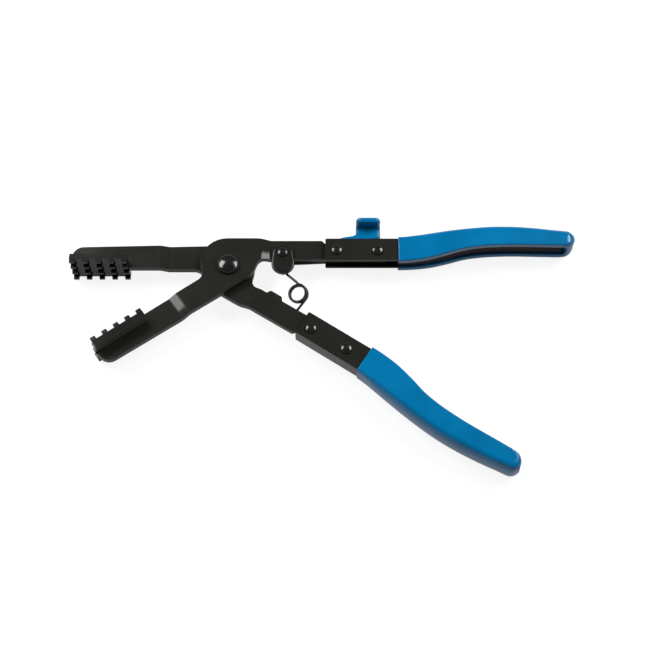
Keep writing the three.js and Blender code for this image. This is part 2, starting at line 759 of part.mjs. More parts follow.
// Centre line of the opening spring: from the catch's lip, round the coil clockwise, and under
// the lower arm to a hook round its anchor.
function springLine() {
  const [x, y] = springCentre;
  const bend = handleFrames.lower([springBend])[0];
  const toBend = new THREE.Vector2(bend[0] - x, bend[1] - y);
  const lastTurn = toBend.angle() - 2 * Math.PI + Math.acos(springRadius / toBend.length());
  const sweep = springFirstTurn - lastTurn + 2 * Math.PI * springTurns;
  const top = legHeight + (springPitch * sweep) / (2 * Math.PI);
  const steps = Math.round((sweep / (2 * Math.PI)) * springSteps);
  const coil = Array.from({ length: steps + 1 }, (_, i) => {
    const turn = springFirstTurn - (sweep * i) / steps;
    return new THREE.Vector3(
      x + springRadius * Math.cos(turn),
      y + springRadius * Math.sin(turn),
      THREE.MathUtils.lerp(top, legHeight, i / steps),
    );
  });
  const tangent = [Math.sin(springFirstTurn), -Math.cos(springFirstTurn)];
  const knee = crossing(springLegEnd, legRun, [coil[0].x, coil[0].y], tangent);
  const lipHeight = armThickness / 2 + seat - lipDepth / 2;
  const legPoint = (distance, height) => new THREE.Vector3(
    springLegEnd[0] - legRun[0] * distance, springLegEnd[1] - legRun[1] * distance, height);
  const legLength = Math.hypot(knee[0] - springLegEnd[0], knee[1] - springLegEnd[1]);
  const first = [
    legPoint(0, lipHeight),
    legPoint(springWire, lipHeight),
    legPoint(legLength - springWire, top),
  ];
  return [...first, ...coil, ...anchorHook(coil[steps], bend)];
}

// The end of the spring: its leg runs on to a bend, and then wraps the anchor.
function anchorHook(from, bend) {
  const [anchor] = handleFrames.lower([anchorPlace]);
  const wrapRadius = anchorRadius + seat + springWire / 2;
  const toBend = new THREE.Vector2(bend[0] - anchor[0], bend[1] - anchor[1]);
  const firstTurn = toBend.angle() - Math.acos(wrapRadius / toBend.length());
  const points = [];
  const steps = Math.round(springSteps * hookShare);
  for (let i = 0; i <= steps; i += 1) {
    const turn = firstTurn - (2 * Math.PI * hookShare * i) / steps;
    points.push([anchor[0] + wrapRadius * Math.cos(turn), anchor[1] + wrapRadius * Math.sin(turn)]);
  }
  const [last, end] = points.slice(-2);
  const run = new THREE.Vector2(end[0] - last[0], end[1] - last[1]).setLength(springWire);
  points.push([end[0] + run.x, end[1] + run.y]);
  const before = new THREE.Vector2(from.x - bend[0], from.y - bend[1]).setLength(springWire);
  const after = new THREE.Vector2(points[0][0] - bend[0], points[0][1] - bend[1]).setLength(springWire);
  return [
    [bend[0] + before.x, bend[1] + before.y],
    [bend[0] + after.x, bend[1] + after.y],
    ...points,
  ].map(([px, py]) => new THREE.Vector3(px, py, legHeight));
}

// A round wire along a line of points, as one closed tube.
function wire(line, radius, sides) {
  const positions = [];
  const index = [];
  let normal = new THREE.Vector3(0, 0, 1);
  line.forEach((point, i) => {
    const back = point.clone().sub(line[Math.max(i - 1, 0)]).normalize();
    const on = line[Math.min(i + 1, line.length - 1)].clone().sub(point).normalize();
    const tangent = back.add(on).normalize();
    normal = normal.sub(tangent.clone().multiplyScalar(normal.dot(tangent))).normalize();
    const across = tangent.clone().cross(normal);
    for (let k = 0; k < sides; k += 1) {
      const turn = (2 * Math.PI * k) / sides;
      positions.push(...point.clone()
        .addScaledVector(normal, radius * Math.cos(turn))
        .addScaledVector(across, radius * Math.sin(turn)).toArray());
    }
  });
  const ring = (i, k) => i * sides + (k % sides);
  for (let i = 0; i + 1 < line.length; i += 1) {
    for (let k = 0; k < sides; k += 1) {
      index.push(ring(i, k), ring(i, k + 1), ring(i + 1, k));
      index.push(ring(i, k + 1), ring(i + 1, k + 1), ring(i + 1, k));
    }
  }
  for (let k = 1; k + 1 < sides; k += 1) {
    index.push(ring(0, 0), ring(0, k + 1), ring(0, k));
    index.push(ring(line.length - 1, 0), ring(line.length - 1, k), ring(line.length - 1, k + 1));
  }
  const geometry = new THREE.BufferGeometry();
  geometry.setAttribute('position', new THREE.Float32BufferAttribute(positions, 3));
  geometry.setIndex(index);
  return solid(geometry);
}

// The least gap between turns of a wire, measured between points half a turn or more apart.
function leastGap(line, radius, stepsApart) {
  let least = Infinity;
  line.forEach((point, i) => {
    line.slice(i + stepsApart).forEach((other) => {
      least = Math.min(least, point.distanceTo(other) - 2 * radius);
    });
  });
  return least;
}

// The anchor: a pin pressed into a blind hole in the lower arm, its flat head over the spring's hook.
function springAnchor() {
  const [place] = handleFrames.lower([anchorPlace]);
  const under = legHeight - springWire / 2 - seat;
  return turned(place, [
    [0, under - anchorHeadThickness],
    [anchorHeadRadius, under - anchorHeadThickness],
    [anchorHeadRadius, under],
    [anchorRadius, under],
    [anchorRadius, anchorTop],
    [0, anchorTop],
  ]);
}

// A flat ring on a channel rivet, between the arm and one wall of the channel.
function spacer(place, side) {
  const near = armThickness / 2 + seat;
  const far = near + leverThickness;
  const [low, high] = side > 0 ? [near, far] : [-far, -near];
  return post(place, spacerRadius, low, high)
    .subtract(post(place, rivetRadius + runningClearance, low - overrun, high + overrun));
}

const steel = { color: 0x2b2927, roughness: 0.45, metalness: 0.85 };
const darkSteel = { color: 0x1f1d1c, roughness: 0.5, metalness: 0.8 };
const vinyl = { color: 0x0074a8, roughness: 0.35, metalness: 0 };

// The pieces of each moving group: the front arm's own, the rear arm's, the catch's, the lever's.
const frontPieces = new THREE.Group();
const rearPieces = new THREE.Group();
const catchPieces = new THREE.Group();
const leverPieces = new THREE.Group();

frontPieces.add(piece('front_arm', frontArm(), steel));
frontPieces.add(piece('lower_jaw_pad', jawPad(jawFrames.lower), steel));
rearPieces.add(piece('rear_arm', rearArm(), steel));
rearPieces.add(piece('upper_jaw_pad', jawPad(jawFrames.upper), steel));

const pivotSeat = armLevel + armThickness / 2 + seat;
frontPieces.add(piece('pivot_rivet', rivet([0, 0], pivotRadius, pivotHeadRadius, -pivotSeat, pivotSeat,
  pivotFarHeight, pivotHeadHeight, 2 * holeSides), darkSteel));

const upperSide = {
  name: 'upper',
  frame: handleFrames.upper,
  angle: 0,
  end: upperEnd,
  shift: upperShift,
  lean: 0,
  open: channelOpen - upperDeeper,
  belly: upperBelly,
};
const lowerSide = {
  name: 'lower',
  frame: handleFrames.lower,
  angle: -handleSpread,
  end: lowerEnd,
  shift: lowerShift,
  lean: lowerLean,
  open: channelOpen - lowerDeeper,
  belly: lowerBelly,
};

[[upperSide, frontPieces, true], [lowerSide, rearPieces, false]].forEach(([side, group, slotted]) => {
  const { name, frame } = side;
  group.add(piece(`${name}_channel`, channel(side, slotted), darkSteel));
  group.add(piece(`${name}_grip`, grip(side), vinyl));
  rivetPlaces.forEach((u, i) => {
    const where = i === 0 ? 'front' : 'rear';
    const [place] = frame([[u, rivetLine]]);
    const under = channelHalf + seat;
    group.add(piece(`${name}_${where}_rivet`, rivet(place, rivetRadius, rivetHeadRadius, -under, under,
      rivetHeadHeight, rivetHeadHeight), darkSteel));
    group.add(piece(`${name}_${where}_near_spacer`, spacer(place, 1), darkSteel));
    if (!slotted || i > 0) {
      group.add(piece(`${name}_${where}_far_spacer`, spacer(place, -1), darkSteel));
    }
  });
});

rearPieces.add(piece('spring_anchor', springAnchor(), darkSteel));

const line = springLine();
console.log(`opening_spring: least gap to itself ${
  leastGap(line, springWire / 2, springSteps / 2).toFixed(2)} mm`);
frontPieces.add(piece('opening_spring', wire(line, springWire / 2, springSides), darkSteel));

catchPieces.add(piece('catch', catchCup(), darkSteel));
catchPieces.add(piece('catch_pin', rivet(catchPlace, catchPinRadius, catchHeadRadius,
  leverLow - seat, armThickness / 2 + 2 * seat + catchThickness, catchFarHeight, catchHeadHeight),
darkSteel));
catchPieces.add(piece('catch_crank', catchCrank(), darkSteel));

leverPieces.add(piece('lock_lever', lockLever(), darkSteel));
leverPieces.add(piece('lever_sleeve', leverSleeve(), vinyl));

// The whole tool stands on the middle of the underside of its box.
const tool = new THREE.Group();
tool.add(frontPieces, rearPieces, catchPieces, leverPieces);
const box = new THREE.Box3().setFromObject(tool, true);
tool.position.set(-(box.min.x + box.max.x) / 2, -(box.min.y + box.max.y) / 2, -box.min.z);

const assembly = new THREE.Group();
assembly.add(tool);
export default assembly;
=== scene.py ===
"""Angled hose clamp pliers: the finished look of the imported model, seen from the photograph's side.

Lengths are in millimetres and places are measured from the pivot; each mesh is turned to metres and put
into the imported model's frame as it is made. Angles are in degrees where they are given.
"""
import json
import math

import bmesh
import bpy
import numpy as np
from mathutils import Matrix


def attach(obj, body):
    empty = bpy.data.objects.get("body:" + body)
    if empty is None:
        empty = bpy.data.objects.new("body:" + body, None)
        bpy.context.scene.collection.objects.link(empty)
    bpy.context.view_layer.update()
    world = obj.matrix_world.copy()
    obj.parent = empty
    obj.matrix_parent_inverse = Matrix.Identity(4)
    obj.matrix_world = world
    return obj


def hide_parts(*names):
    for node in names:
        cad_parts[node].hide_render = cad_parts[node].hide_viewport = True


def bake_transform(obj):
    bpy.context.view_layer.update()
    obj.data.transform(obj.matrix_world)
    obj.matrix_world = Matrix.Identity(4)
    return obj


MM = 0.001
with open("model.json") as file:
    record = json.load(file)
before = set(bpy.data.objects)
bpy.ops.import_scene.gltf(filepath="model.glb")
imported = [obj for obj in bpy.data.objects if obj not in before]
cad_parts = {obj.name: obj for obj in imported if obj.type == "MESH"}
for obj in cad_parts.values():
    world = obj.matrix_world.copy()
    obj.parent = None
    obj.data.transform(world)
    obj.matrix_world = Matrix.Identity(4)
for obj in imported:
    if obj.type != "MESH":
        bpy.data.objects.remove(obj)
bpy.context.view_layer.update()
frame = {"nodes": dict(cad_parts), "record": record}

# Sizes and places shared with the part's source; only the pivot's place is in the model's frame
PIVOT = np.array([-56.4, 49.413, 11.05])
HANDLE_SPREAD = 32.5
JAW_SPREAD = 35.4
HANDLE_JOGGLE = (18.5, 25.5)
JAW_JOGGLE = (34.6, 41.4)
RIVETS_ALONG = (64.1, 88.2)
RIVET_LINE = 9.4
CHANNEL_HALF = 5.0
ARM_HALF = 1.9
LEVER_SHEET = 1.2
CATCH_DEPTH = 2.7
SEAT = 0.3


def heading(degrees):
    """A level direction from its bearing."""
    return (math.cos(math.radians(degrees)), math.sin(math.radians(degrees)))


def upper(u, v):
    """A place on the upper handle: u along it from the pivot, v outwards."""
    return np.array([u, v], float)


def lower(u, v):
    """The same place on the lower handle, which is the upper one turned over and swung by the spread."""
    c, s = heading(HANDLE_SPREAD)
    return np.array([u * c - v * s, -u * s - v * c], float)


# Finishes


class Value:
    """One output of a finish's nodes; arithmetic on it adds the Math node that works it out."""

    def __init__(self, finish, socket):
        self.finish = finish
        self.socket = socket

    def _math(self, operation, first, second):
        return self.finish.node("Math", {"operation": operation}, {0: first, 1: second})

    def __add__(self, other):
        return self._math("ADD", self, other)

    def __radd__(self, other):
        return self._math("ADD", other, self)

    def __sub__(self, other):
        return self._math("SUBTRACT", self, other)

    def __rsub__(self, other):
        return self._math("SUBTRACT", other, self)

    def __mul__(self, other):
        return self._math("MULTIPLY", self, other)

    def __rmul__(self, other):
        return self._math("MULTIPLY", other, self)


class Finish:
    """A node tree under construction: a material's or the world's."""

    def __init__(self, owner):
        owner.use_nodes = True
        self.owner = owner
        self.tree = owner.node_tree
        self.tree.nodes.clear()

    def node(self, kind, settings=None, sockets=None, output=0):
        """Adds a node: its settings first, a ramp's stops among them, then its sockets' values or links."""
        made = self.tree.nodes.new("ShaderNode" + kind)
        for name, value in (settings or {}).items():
            if name == "stops":
                for element, (position, level) in zip(made.color_ramp.elements, value):
                    element.position = position
                    element.color = grey(level)
            else:
                setattr(made, name, value)
        for name, value in (sockets or {}).items():
            if isinstance(value, Value):
                self.tree.links.new(value.socket, made.inputs[name])
            else:
                made.inputs[name].default_value = value
        return Value(self, made.outputs[output])

    def noise(self, scale, detail, grain=(1, 1, 1)):
        """Soft noise from 0 to 1 about a middle of 0.5; grain squeezes it along each axis."""
        at = self.node("TexCoord", output="Object")
        at = self.node("Mapping", {}, {"Vector": at, "Scale": grain})
        return self.node("TexNoise", {}, {"Vector": at, "Scale": scale, "Detail": detail}, "Fac")

    def ramp(self, factor, low, high):
        """0 below low, 1 above high, and straight between them."""
        return self.node("ValToRGB", {"stops": [(low, 0.0), (high, 1.0)]}, {"Fac": factor}, "Color")

    def mix(self, factor, first, second):
        """A colour between two."""
        return self.node("Mix", {"data_type": "RGBA"}, {0: factor, 6: first, 7: second}, 2)

    def bump(self, height, strength, distance, normal=None):
        """A normal tilted by a height, which a distance in metres scales; normal is the one that it tilts."""
        under = {} if normal is None else {"Normal": normal}
        return self.node("Bump", {}, {"Height": height, "Strength": strength, "Distance": distance, **under})

    def along(self, way):
        """How far a place lies from the pivot in a level direction, in metres."""
        at = self.node("TexCoord", output="Object")
        reach = self.node("VectorMath", {"operation": "DOT_PRODUCT"}, {0: at, 1: (*way, 0.0)}, "Value")
        return reach - float(PIVOT[:2] @ way) * MM

    def remap(self, value, ends, levels):
        """The value carried smoothly from its two ends to two levels, and held beyond them."""
        return self.node("MapRange", {"interpolation_type": "SMOOTHSTEP"}, {
            "Value": value, "From Min": ends[0], "From Max": ends[1],
            "To Min": levels[0], "To Max": levels[1]})

    def facing(self):
        """How far a surface faces up: 1 face up, 0 upright, -1 face down."""
        return self.node("SeparateXYZ", {}, {"Vector": self.node("NewGeometry", output="Normal")}, "Z")

    def levelled(self, way, ends, rise, across, shares, normal):
        """A normal that levels a joggle's slope on the near face, by a share that changes across the arm."""
        slope = self.remap(self.along(way), [e * MM for e in ends], (0.0, rise * MM))
        share = self.remap(self.along((-way[1], way[0])), [a * MM for a in across], shares)
        near = self.node("Math", {"operation": "GREATER_THAN"}, {0: self.facing(), 1: 0.6})
        return self.bump(slope, share * near, 1.0, normal)

    def surface(self, shader, output="OutputMaterial"):
        """Joins the last shader to the output."""
        end = self.tree.nodes.new("ShaderNode" + output)
        self.tree.links.new(shader.socket, end.inputs["Surface"])
        return self.owner


def rgb(red, green, blue):
    """A colour socket's value."""
    return (red, green, blue, 1.0)


def grey(level):
    """A grey as a colour socket's value."""
    return rgb(level, level, level)


def black_steel(name, base, gloss, grain=(1, 1, 1), sheen=1.42, joggles=(), sheared=0.0):
    """Oiled black steel: a dark coat whose gloss is broken by rolling grain and by finger smears.

    Sheared is how much rougher the plate's cut edges are than its faces.
    """
    finish = Finish(bpy.data.materials.new(name))
    fine = finish.noise(1400, 4, grain)
    smear = finish.noise(55, 3)
    worn = finish.ramp(fine * 0.35 + smear * 0.65, 0.42, 0.68)
    colour = finish.mix(worn, rgb(*base), rgb(*(1.2 * c for c in base)))
    rough = gloss + (smear - 0.5) * 0.12 + (fine - 0.5) * 0.06
    if sheared:
        level = finish.node("Math", {"operation": "ABSOLUTE"}, {0: finish.facing()})
        rough = rough + (1 - level) * sheared
    normal = None
    for joggle in joggles:
        normal = finish.levelled(*joggle, normal)
    shader = finish.node("BsdfPrincipled", {}, {
        "Base Color": colour, "Roughness": rough, "IOR": sheen,
        "Normal": finish.bump(fine, 0.04, 0.0002, normal)}, "BSDF")
    return finish.surface(shader)


def vinyl(name, base):
    """Dipped vinyl: a glossy coat that pooled a little unevenly as it dripped and cured."""
    finish = Finish(bpy.data.materials.new(name))
    flow = finish.noise(38, 2)
    pores = finish.noise(900, 2)
    colour = finish.mix(finish.ramp(flow, 0.35, 0.6), rgb(*(0.86 * c for c in base)), rgb(*base))
    rough = 0.15 + (flow - 0.5) * 0.08 + (pores - 0.5) * 0.04
    height = flow * 0.8 + pores * 0.02
    shader = finish.node("BsdfPrincipled", {}, {
        "Base Color": colour, "Roughness": rough, "IOR": 1.46,
        "Normal": finish.bump(height, 0.14, 0.0006)}, "BSDF")
    return finish.surface(shader)


# Each arm's joggles: heading, where they lie along it, the rise that levels them, and between which
# places across it the levelled share goes from the first value to the second
LEVELLING = 2.05
FRONT_JOGGLES = [
    (heading(0), HANDLE_JOGGLE, LEVELLING, (6.5, 13), (0.05, 0.95)),
    (heading(180 + JAW_SPREAD), JAW_JOGGLE, LEVELLING, (6.5, 10.5), (0.1, 0.95)),
]
REAR_JOGGLES = [
    (heading(-HANDLE_SPREAD), HANDLE_JOGGLE, -LEVELLING, (-12, -4), (0.97, 0.97)),
    (heading(180), JAW_JOGGLE, -LEVELLING, (-14, 0), (0.8, 0.8)),
]
ARM_BASE = (0.0182, 0.0183, 0.0158)
ROLLED = (0.4, 1, 1)
MILLED = (1, 3, 1)
FRONT_BLACK = black_steel("front_arm_black", ARM_BASE, 0.2, joggles=FRONT_JOGGLES, sheared=0.22)
REAR_BLACK = black_steel("rear_arm_black", ARM_BASE, 0.2, joggles=REAR_JOGGLES, sheared=0.22)
PAD_BLACK = black_steel("pad_black", (0.0135, 0.0134, 0.0122), 0.23, MILLED, 1.3)
# The lower pad's back: a paler copy of the pad's black, painted light for a wall that faces away from the
# lamps
PAD_BACK_PAINTED_LIGHT = black_steel("pad_back_painted_light", (0.075, 0.075, 0.066), 0.4, sheen=1.3)
CHANNEL_BLACK = black_steel("channel_black", (0.0158, 0.0158, 0.0134), 0.24, ROLLED)
# Inside the channels: bare steel's reddish tint, on a pale base that is painted light for the shaded inside
CHANNEL_INSIDE_BARE_AND_LIT = black_steel("channel_inside_bare_and_lit", (0.5, 0.4, 0.42), 0.55, ROLLED)
CATCH_BLACK = black_steel("catch_black", (0.0128, 0.0127, 0.0112), 0.24)
RIVET_BLACK = black_steel("rivet_black", (0.013, 0.0128, 0.012), 0.16, sheen=1.6)
SPRING_BLACK = black_steel("spring_black", (0.013, 0.0128, 0.0125), 0.28)
GRIP_BLUE = vinyl("grip_blue", (0.0, 0.19, 0.44))
FINISH_OF_SLOT = {
    "arm_steel": FRONT_BLACK,
    "pad_steel": PAD_BLACK,
    "channel_steel": CHANNEL_BLACK,
    "rivet_steel": RIVET_BLACK,
    "spring_steel": SPRING_BLACK,
    "grip_vinyl": GRIP_BLUE,
}
SLOT_OF_NODE = {part["node"]: part["material_slot"] for part in frame["record"]["subparts"]}
BODY_OF_NODE = {node: body for body, nodes in frame["record"]["behaviour"]["bodies"].items()
                for node in nodes}

# Making pieces


def settle(piece, node, finish=None):
    """Gives a piece the finish and the body of the node that it stands for."""
    piece.data.materials.clear()
    piece.data.materials.append(finish or FINISH_OF_SLOT[SLOT_OF_NODE[node]])
    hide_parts(node)
    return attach(piece, BODY_OF_NODE[node])


def linked(name, mesh):
    """A mesh as a smooth shaded object of the scene."""
    mesh.polygons.foreach_set("use_smooth", np.ones(len(mesh.polygons), bool))
    piece = bpy.data.objects.new(name, mesh)
    bpy.context.scene.collection.objects.link(piece)
    return piece


def skin(name, rings):
    """A closed skin through rings of points about the pivot, an (m, n, 3) array, with both ends capped."""
    m, n, _ = rings.shape
    i, k = np.meshgrid(np.arange(m - 1), np.arange(n), indexing="ij")
    k_next = (k + 1) % n
    sides = np.stack([i * n + k, i * n + k_next, (i + 1) * n + k_next, (i + 1) * n + k], -1)
    ends = [list(range(n))[::-1], list(range((m - 1) * n, m * n))]
    mesh = bpy.data.meshes.new(name)
    mesh.from_pydata((rings + PIVOT).reshape(-1, 3) * MM, [], sides.reshape(-1, 4).tolist() + ends)
    mesh.update()
    return linked(name, mesh)


def turned(name, place, profile, sides=64):
    """A turned piece: (radius, height) pairs from the bottom up, carried round an upright axis."""
    radius, height = np.asarray(profile, float).T[..., None]
    turn = np.linspace(0, 2 * math.pi, sides, endpoint=False)
    return skin(name, np.stack([
        place[0] + radius * np.cos(turn),
        place[1] + radius * np.sin(turn),
        np.broadcast_to(height, (len(radius), sides)),
    ], -1))


def head(radius, base, flank, crown, way):
    """Profile of a rivet head from its foot out, way up or down: a flank that rounds inwards, and a cap.

    The flank follows (1 - cos, sin) of a turn to 66 degrees; the cap is part of a sphere of radius
    (r^2 + c^2) / 2c, with r its edge's radius and c its crown.
    """
    rim = 0.78 * radius
    last = math.radians(66)
    turn = np.linspace(0, last, 8)[:-1]
    edge = np.stack([radius - (radius - rim) * (1 - np.cos(turn)) / (1 - math.cos(last)),
                     flank * (0.3 + 0.7 * np.sin(turn) / math.sin(last))], -1)
    sphere = (rim ** 2 + crown ** 2) / (2 * crown)
    out = np.linspace(rim, radius * 0.004, 14)
    dome = np.stack([out, flank + np.sqrt(sphere ** 2 - out ** 2) - (sphere - crown)], -1)
    profile = np.vstack([[radius, 0], edge, dome])
    profile[:, 1] = base + way * profile[:, 1]
    return profile


def rivet(node, place, shank, radius, low, high, low_head, high_head):
    """A rivet or pin with a domed head at each end; each head is its flank and its crown."""
    bottom = head(radius, low, *low_head, -1)[::-1]
    top = head(radius, high, *high_head, 1)
    profile = np.concatenate([bottom, [[shank, low], [shank, high]], top])
    return settle(turned(node + "_round", place, profile), node)


def sharp_edges(mesh, corner):
    """Which edges turn by more than corner, worked out from the two faces that meet at each."""
    loops = np.zeros(len(mesh.loops), int)
    mesh.loops.foreach_get("edge_index", loops)
    totals = np.zeros(len(mesh.polygons), int)
    mesh.polygons.foreach_get("loop_total", totals)
    normals = np.zeros(len(mesh.polygons) * 3)
    mesh.polygons.foreach_get("normal", normals)
    normals = np.repeat(normals.reshape(-1, 3), totals, axis=0)
    pairs = normals[np.argsort(loops, kind="stable")].reshape(-1, 2, 3)
    return np.arccos(np.clip((pairs[:, 0] * pairs[:, 1]).sum(1), -1, 1)) > corner


def eased(node, radius, segments=3, merge=True, finish=None):
    """A copy of a node with its sharp edges rounded; merge joins the faces that lie in one plane."""
    shell = bmesh.new()
    shell.from_mesh(frame["nodes"][node].data)
    bmesh.ops.remove_doubles(shell, verts=shell.verts, dist=2e-6)
    if merge:
        bmesh.ops.dissolve_limit(shell, angle_limit=math.radians(0.2), verts=shell.verts, edges=shell.edges)
    mesh = bpy.data.meshes.new(node + "_eased")
    shell.to_mesh(mesh)
    shell.free()
    sharp = sharp_edges(mesh, math.radians(26))
    attribute = mesh.attributes.new("bevel_weight_edge", "FLOAT", "EDGE")
    attribute.data.foreach_set("value", sharp.astype(np.float32))
    piece = linked(node + "_eased", mesh)
    bevel = piece.modifiers.new("eased edges", "BEVEL")
    bevel.limit_method = "WEIGHT"
    bevel.width = radius * MM
    bevel.segments = segments
    bevel.use_clamp_overlap = True
    weighted = piece.modifiers.new("even faces", "WEIGHTED_NORMAL")
    weighted.keep_sharp = False
    return settle(piece, node, finish)


def second_finish(piece, finish, chosen):
    """Gives the chosen faces another finish; chosen takes the faces' middles and normals."""
    mesh = piece.data
    middles = np.zeros(len(mesh.polygons) * 3)
    normals = np.zeros(len(mesh.polygons) * 3)
    mesh.polygons.foreach_get("center", middles)
    mesh.polygons.foreach_get("normal", normals)
    mask = chosen(middles.reshape(-1, 3) / MM - PIVOT, normals.reshape(-1, 3))
    mesh.materials.append(finish)
    mesh.polygons.foreach_set("material_index", mask.astype(np.int32))


def channel_inside_bare_and_lit(middles, normals):
    """The inner sides of a channel where it lies in its grip; they get the bare steel's reddish tint on a
    pale base, and the paleness is painted light for an inside that lies in shade.
    """
    inner = normals[:, 2] * middles[:, 2] < -1.5
    return inner & (np.hypot(middles[:, 0], middles[:, 1]) > 103)


def pad_back_painted_light(middles, normals):
    """The lower pad's back, which faces away from the jaws' gap and from the lamps; these faces get a much
    paler base, painted light that makes the shaded wall look as light as the plate.
    """
    return normals[:, :2] @ heading(JAW_SPREAD - 90) > 0.9


# Arms, jaw pads, channels, catch and lever
eased("front_arm", 0.4)
eased("rear_arm", 0.4, finish=REAR_BLACK)
eased("upper_jaw_pad", 0.22, segments=2, merge=False)
# The lower pad's back wall gets the paler finish, which is painted light
second_finish(eased("lower_jaw_pad", 0.22, segments=2, merge=False), PAD_BACK_PAINTED_LIGHT, pad_back_painted_light)
for side in ("upper", "lower"):
    # The channels' insides get the reddish finish, whose paleness is painted light
    second_finish(eased(side + "_channel", 0.5), CHANNEL_INSIDE_BARE_AND_LIT, channel_inside_bare_and_lit)
eased("catch", 0.1, finish=CATCH_BLACK)
eased("catch_crank", 0.3)
eased("lock_lever", 0.3)

# Grips: where they start, and how their back and open side climb along them, as in the part's source
GRIP_START = 100.5
BACK_HEIGHT = 17.9
BACK_RISE = 7.3
BACK_SHARES = [[0, 0], [0.18, 0.36], [0.37, 0.74], [0.52, 0.94], [0.66, 0.95], [0.83, 0.76], [1, 0.5]]
BELLY_SHARES = [[0, 0], [0.09, 0.05], [0.18, 0.19], [0.28, 0.46], [0.38, 0.76], [0.48, 0.92],
                [0.57, 0.98], [0.67, 1], [0.82, 0.97], [1, 0.93]]
WALL = 6.4
WIDENING, WIDENING_LENGTH = 1.6, 34

# The coat itself: how far it runs past the channel's end, its rounded first edge, and its swell
PAST_END = 1.4
FIRST_EDGE = 0.5
SWELL = 0.45
# How long each end arc is and how far it draws in: at the back, at the open side and at the walls
BACK_ARC, OPEN_ARC, WALL_ARC = (5, 5.2), (6, 6.5), (5, 4.1)
# The inside of half a section, from its lip up to the channel's back: how far in from the wall's
# face, and for all but the last two points how far up from the lip
POCKET_IN = np.array([3.3, 3.58, 3.7, 3.7, 3.45, 3.0, 3.0, 1.1, 1.1, 3.2])
POCKET_UP = np.array([0, 0.12, 0.4, 1.7, 2.0, 2.0, 0.7, 0.7])


def climb(along, end, rise, shares):
    """Height of a handle's curve: shares of its rise, joined by cubics with the slope from knot to knot."""
    x, y = np.array(shares, float).T
    slope = np.concatenate([[0], (y[2:] - y[:-2]) / (x[2:] - x[:-2]), [(y[-1] - y[-2]) / (x[-1] - x[-2])]])
    share = np.clip((along - GRIP_START) / (end - GRIP_START), 0, 1)
    i = np.clip(np.searchsorted(x, share) - 1, 0, len(x) - 2)
    width = x[i + 1] - x[i]
    t = (share - x[i]) / width
    first = 2 * t ** 3 - 3 * t ** 2 + 1
    return rise * (first * y[i] + (1 - first) * y[i + 1]
                   + width * ((t ** 3 - 2 * t ** 2 + t) * slope[i] + (t ** 3 - t ** 2) * slope[i + 1]))


def smooth(t):
    """A step from 0 to 1 with a level start and end: 3t^2 - 2t^3."""
    t = np.clip(t, 0, 1)
    return t * t * (3 - 2 * t)


def arc(along, end, length, drop):
    """How far an outline has drawn in at a rounded end: a quarter of an ellipse."""
    t = np.clip((along - end + length) / length, 0, 1)
    return drop * (1 - np.sqrt(np.maximum(1 - t * t, 0)))


